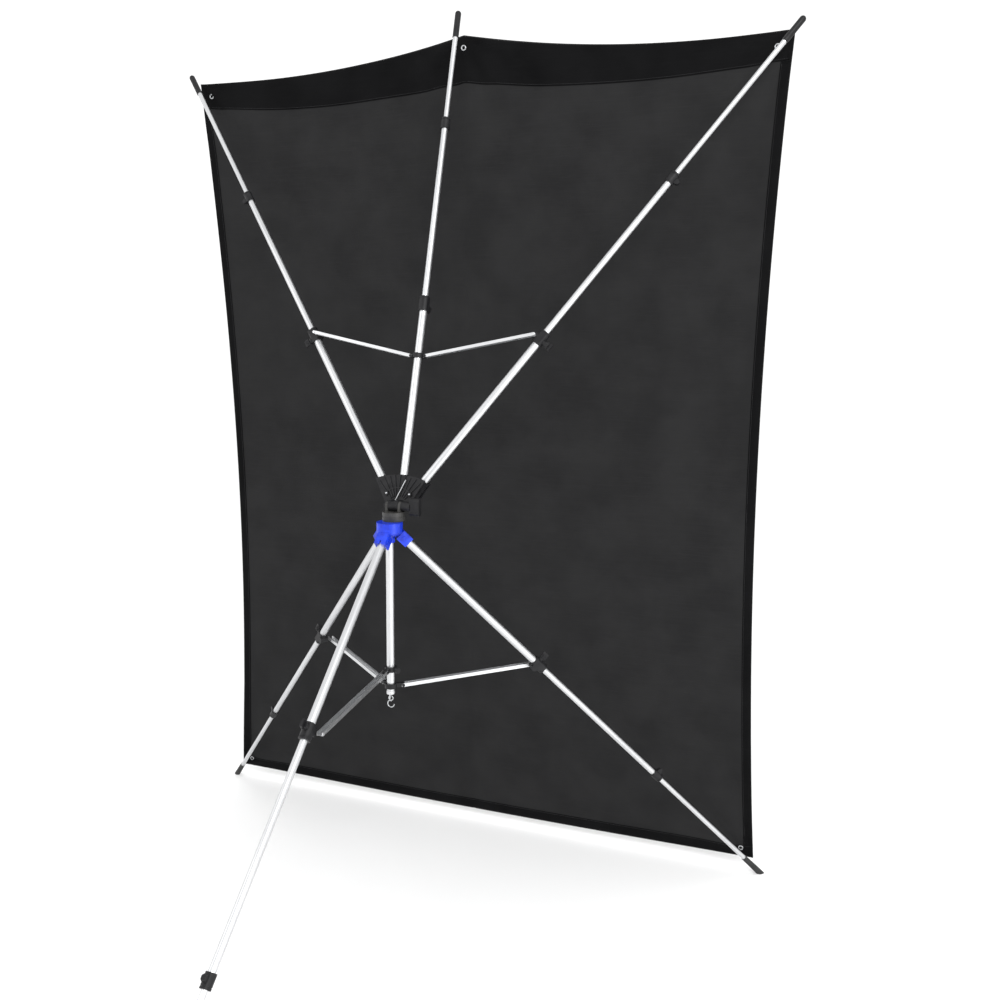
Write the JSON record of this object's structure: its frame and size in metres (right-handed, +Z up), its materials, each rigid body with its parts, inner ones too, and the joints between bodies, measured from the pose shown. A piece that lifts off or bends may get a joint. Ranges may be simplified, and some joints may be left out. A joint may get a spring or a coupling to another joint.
{
  "type": "backdrop stand",
  "caption": "Portable folding backdrop stand: tripod with tilting head, telescopic arms fanning out and a black cloth stretched between the arm tips and front feet",
  "frame": {"origin": "on the floor, in the middle of the outline seen from above", "axes": "+Z up; the cloth faces -Y and the rear leg points to +Y; +X is to the left as seen from behind"},
  "size_m": [1.6298, 1.586, 2.1415],
  "materials": {
    "aluminium": "satin anodised tube with fine lengthwise draw lines",
    "black_plastic": "moulded, fine grain",
    "grey_plastic": "moulded dark grey, smooth",
    "blue_paint": "vivid blue, moulded, semi-gloss",
    "rubber": "matt black rubber",
    "steel_wire": "bright zinc-plated wire",
    "cloth": "black plain-woven cloth with a slight sheen"
  },
  "bodies": {
    "stand": {"crown": "blue_paint", "column": "aluminium", "tilt_base": "grey_plastic"},
    "head": {"head_bracket": "black_plastic", "centre_arm_socket": "black_plastic", "centre_arm_tube_1": "aluminium", "centre_arm_lock_1": "black_plastic", "backdrop": "cloth"},
    "tilt_knob": {"tilt_knob": "black_plastic"},
    "hook": {"ballast_hook": "steel_wire"},
    "front_slider": {"front_slider": "black_plastic"},
    "rear_slider": {"rear_slider": "black_plastic"},
    "arm_slider": {"arm_slider": "black_plastic"},
    "left_arm": {"left_arm_socket": "black_plastic", "left_arm_tube_1": "aluminium", "left_arm_lock_1": "black_plastic"},
    "left_spreader": {"left_arm_spreader": "aluminium"},
    "right_arm": {"right_arm_socket": "black_plastic", "right_arm_tube_1": "aluminium", "right_arm_lock_1": "black_plastic"},
    "right_spreader": {"right_arm_spreader": "aluminium"},
    "left_arm_knob": {"left_arm_knob_1": "black_plastic"},
    "left_arm_middle": {"left_arm_tube_2": "aluminium", "left_arm_lock_2": "black_plastic"},
    "left_arm_end": {"left_arm_tube_3": "aluminium", "left_arm_cap": "black_plastic"},
    "right_arm_knob": {"right_arm_knob_1": "black_plastic"},
    "right_arm_middle": {"right_arm_tube_2": "aluminium", "right_arm_lock_2": "black_plastic"},
    "right_arm_end": {"right_arm_tube_3": "aluminium", "right_arm_cap": "black_plastic"},
    "centre_arm_knob": {"centre_arm_knob_1": "black_plastic"},
    "centre_arm_middle": {"centre_arm_tube_2": "aluminium", "centre_arm_lock_2": "black_plastic"},
    "centre_arm_end": {"centre_arm_tube_3": "aluminium", "centre_arm_cap": "black_plastic"},
    "left_leg": {"left_leg_tube_1": "aluminium", "left_leg_lock_1": "black_plastic"},
    "left_leg_knob": {"left_leg_knob_1": "black_plastic"},
    "left_leg_middle": {"left_leg_tube_2": "aluminium", "left_leg_lock_2": "black_plastic"},
    "left_leg_end": {"left_leg_tube_3": "aluminium", "left_leg_foot": "rubber"},
    "left_leg_strut": {"left_leg_strut": "aluminium"},
    "right_leg": {"right_leg_tube_1": "aluminium", "right_leg_lock_1": "black_plastic"},
    "right_leg_knob": {"right_leg_knob_1": "black_plastic"},
    "right_leg_middle": {"right_leg_tube_2": "aluminium", "right_leg_lock_2": "black_plastic"},
    "right_leg_end": {"right_leg_tube_3": "aluminium", "right_leg_foot": "rubber"},
    "right_leg_strut": {"right_leg_strut": "aluminium"},
    "rear_leg": {"rear_leg_tube_1": "aluminium", "rear_leg_lock_1": "black_plastic"},
    "rear_leg_knob": {"rear_leg_knob_1": "black_plastic"},
    "rear_leg_middle": {"rear_leg_tube_2": "aluminium", "rear_leg_lock_2": "black_plastic"},
    "rear_leg_end": {"rear_leg_tube_3": "aluminium", "rear_leg_foot": "rubber"},
    "rear_leg_strut": {"rear_leg_strut": "aluminium"}
  },
  "joints": [
    {"name": "tripod_fold", "type": "hinge", "parent": "stand", "child": "left_leg", "pos_m": [0.02502, -0.26763, 0.935], "axis": [0.5519, 0.8339, 0], "range_deg": [0, 34]},
    {"name": "right_leg_fold", "type": "hinge", "parent": "stand", "child": "right_leg", "pos_m": [-0.02502, -0.26763, 0.935], "axis": [0.5519, -0.8339, 0], "range_deg": [0, 34.01]},
    {"name": "rear_leg_fold", "type": "hinge", "parent": "stand", "child": "rear_leg", "pos_m": [0, -0.22107, 0.935], "axis": [-1, 0, 0], "range_deg": [0, 36.01]},
    {"name": "front_slider_travel", "type": "slide", "parent": "stand", "child": "front_slider", "axis": [0, 0, 1], "range_m": [0, 0.20215]},
    {"name": "rear_slider_travel", "type": "slide", "parent": "stand", "child": "rear_slider", "axis": [0, 0, 1], "range_m": [0, 0.17369]},
    {"name": "left_leg_strut_swing", "type": "hinge", "parent": "front_slider", "child": "left_leg_strut", "pos_m": [0.02335, -0.26653, 0.594], "axis": [0.5519, 0.8339, 0], "range_deg": [0, 79.26]},
    {"name": "right_leg_strut_swing", "type": "hinge", "parent": "front_slider", "child": "right_leg_strut", "pos_m": [-0.02335, -0.26653, 0.594], "axis": [0.5519, -0.8339, 0], "range_deg": [0, 79.26]},
    {"name": "rear_leg_strut_swing", "type": "hinge", "parent": "rear_slider", "child": "rear_leg_strut", "pos_m": [0, -0.22307, 0.6335], "axis": [-1, 0, 0], "range_deg": [0, 74.51]},
    {"name": "arms_fold", "type": "hinge", "parent": "head", "child": "left_arm", "pos_m": [0.0267, -0.31207, 1.022], "axis": [-0.0711, -0.957, -0.2813], "range_deg": [0, 30], "deforming": ["backdrop"]},
    {"name": "right_arm_fold", "type": "hinge", "parent": "head", "child": "right_arm", "pos_m": [-0.0267, -0.31207, 1.022], "axis": [-0.0711, 0.957, 0.2813], "range_deg": [0, 30.01]},
    {"name": "arm_slider_travel", "type": "slide", "parent": "head", "child": "arm_slider", "axis": [0, 0.2821, -0.9594], "range_m": [0, 0.13394]},
    {"name": "left_arm_spreader_swing", "type": "hinge", "parent": "arm_slider", "child": "left_spreader", "pos_m": [0.01696, -0.40609, 1.33017], "axis": [-0.0711, -0.957, -0.2813], "range_deg": [0, 70.67]},
    {"name": "right_arm_spreader_swing", "type": "hinge", "parent": "arm_slider", "child": "right_spreader", "pos_m": [-0.01696, -0.40609, 1.33017], "axis": [-0.0711, 0.957, 0.2813], "range_deg": [0, 70.67]},
    {"name": "head_tilt", "type": "hinge", "parent": "stand", "child": "head", "pos_m": [0, -0.27607, 1.003], "axis": [-1, 0, 0], "range_deg": [0, 14]},
    {"name": "tilt_knob_turn", "type": "hinge", "parent": "stand", "child": "tilt_knob", "pos_m": [0, -0.27607, 1.003], "axis": [-1, 0, 0], "range_deg": [0, 90]},
    {"name": "left_leg_middle_slide", "type": "slide", "parent": "left_leg", "child": "left_leg_middle", "axis": [0.5896, -0.3903, -0.7071], "range_m": [-0.395, 0]},
    {"name": "left_leg_end_slide", "type": "slide", "parent": "left_leg_middle", "child": "left_leg_end", "axis": [0.5896, -0.3903, -0.7071], "range_m": [-0.34, 0]},
    {"name": "left_leg_knob_turn", "type": "hinge", "parent": "left_leg", "child": "left_leg_knob", "pos_m": [0.28741, -0.4413, 0.62034], "axis": [0.5896, -0.3903, 0.7071], "range_deg": [0, 90]},
    {"name": "right_leg_middle_slide", "type": "slide", "parent": "right_leg", "child": "right_leg_middle", "axis": [-0.5896, -0.3903, -0.7071], "range_m": [-0.395, 0]},
    {"name": "right_leg_end_slide", "type": "slide", "parent": "right_leg_middle", "child": "right_leg_end", "axis": [-0.5896, -0.3903, -0.7071], "range_m": [-0.34, 0]},
    {"name": "right_leg_knob_turn", "type": "hinge", "parent": "right_leg", "child": "right_leg_knob", "pos_m": [-0.28741, -0.4413, 0.62034], "axis": [-0.5896, -0.3903, 0.7071], "range_deg": [0, 90]},
    {"name": "rear_leg_middle_slide", "type": "slide", "parent": "rear_leg", "child": "rear_leg_middle", "axis": [0, 0.7314, -0.682], "range_m": [-0.395, 0]},
    {"name": "rear_leg_end_slide", "type": "slide", "parent": "rear_leg_middle", "child": "rear_leg_end", "axis": [0, 0.7314, -0.682], "range_m": [-0.385, 0]},
    {"name": "rear_leg_knob_turn", "type": "hinge", "parent": "rear_leg", "child": "rear_leg_knob", "pos_m": [0, 0.10438, 0.63151], "axis": [0, 0.682, 0.7314], "range_deg": [0, 90]},
    {"name": "left_arm_middle_slide", "type": "slide", "parent": "left_arm", "child": "left_arm_middle", "axis": [0.5695, -0.2705, 0.7762], "range_m": [-0.385, 0]},
    {"name": "left_arm_end_slide", "type": "slide", "parent": "left_arm_middle", "child": "left_arm_end", "axis": [0.5695, -0.2705, 0.7762], "range_m": [-0.355, 0]},
    {"name": "left_arm_knob_turn", "type": "hinge", "parent": "left_arm", "child": "left_arm_knob", "pos_m": [0.28183, -0.43326, 1.36974], "axis": [0.8189, 0.1051, -0.5642], "range_deg": [0, 90]},
    {"name": "right_arm_middle_slide", "type": "slide", "parent": "right_arm", "child": "right_arm_middle", "axis": [-0.5695, -0.2705, 0.7762], "range_m": [-0.385, 0]},
    {"name": "right_arm_end_slide", "type": "slide", "parent": "right_arm_middle", "child": "right_arm_end", "axis": [-0.5695, -0.2705, 0.7762], "range_m": [-0.355, 0]},
    {"name": "right_arm_knob_turn", "type": "hinge", "parent": "right_arm", "child": "right_arm_knob", "pos_m": [-0.28183, -0.43326, 1.36974], "axis": [-0.8189, 0.1051, -0.5642], "range_deg": [0, 90]},
    {"name": "centre_arm_middle_slide", "type": "slide", "parent": "head", "child": "centre_arm_middle", "axis": [0, -0.2821, 0.9594], "range_m": [-0.38, 0]},
    {"name": "centre_arm_end_slide", "type": "slide", "parent": "centre_arm_middle", "child": "centre_arm_end", "axis": [0, -0.2821, 0.9594], "range_m": [-0.195, 0]},
    {"name": "centre_arm_knob_turn", "type": "hinge", "parent": "head", "child": "centre_arm_knob", "pos_m": [0, -0.43822, 1.44372], "axis": [0, -0.9594, -0.2821], "range_deg": [0, 90]},
    {"name": "hook_swing", "type": "hinge", "parent": "stand", "child": "hook", "pos_m": [0, -0.25107, 0.569], "axis": [0, 1, 0], "range_deg": [-25, 25]}
  ],
  "couplings": [
    {"joint": "right_leg_fold", "follows": "tripod_fold", "ratio": 1},
    {"joint": "rear_leg_fold", "follows": "tripod_fold", "ratio": 1.0588},
    {"joint": "front_slider_travel", "follows": "tripod_fold", "m_per_rad": 0.33982},
    {"joint": "rear_slider_travel", "follows": "tripod_fold", "m_per_rad": 0.29185},
    {"joint": "left_leg_strut_swing", "follows": "tripod_fold", "ratio": 2.3298},
    {"joint": "right_leg_strut_swing", "follows": "tripod_fold", "ratio": 2.3298},
    {"joint": "rear_leg_strut_swing", "follows": "tripod_fold", "ratio": 2.1899},
    {"joint": "right_arm_fold", "follows": "arms_fold", "ratio": 1},
    {"joint": "arm_slider_travel", "follows": "arms_fold", "m_per_rad": 0.25485},
    {"joint": "left_arm_spreader_swing", "follows": "arms_fold", "ratio": 2.3541},
    {"joint": "right_arm_spreader_swing", "follows": "arms_fold", "ratio": 2.3541}
  ]
}
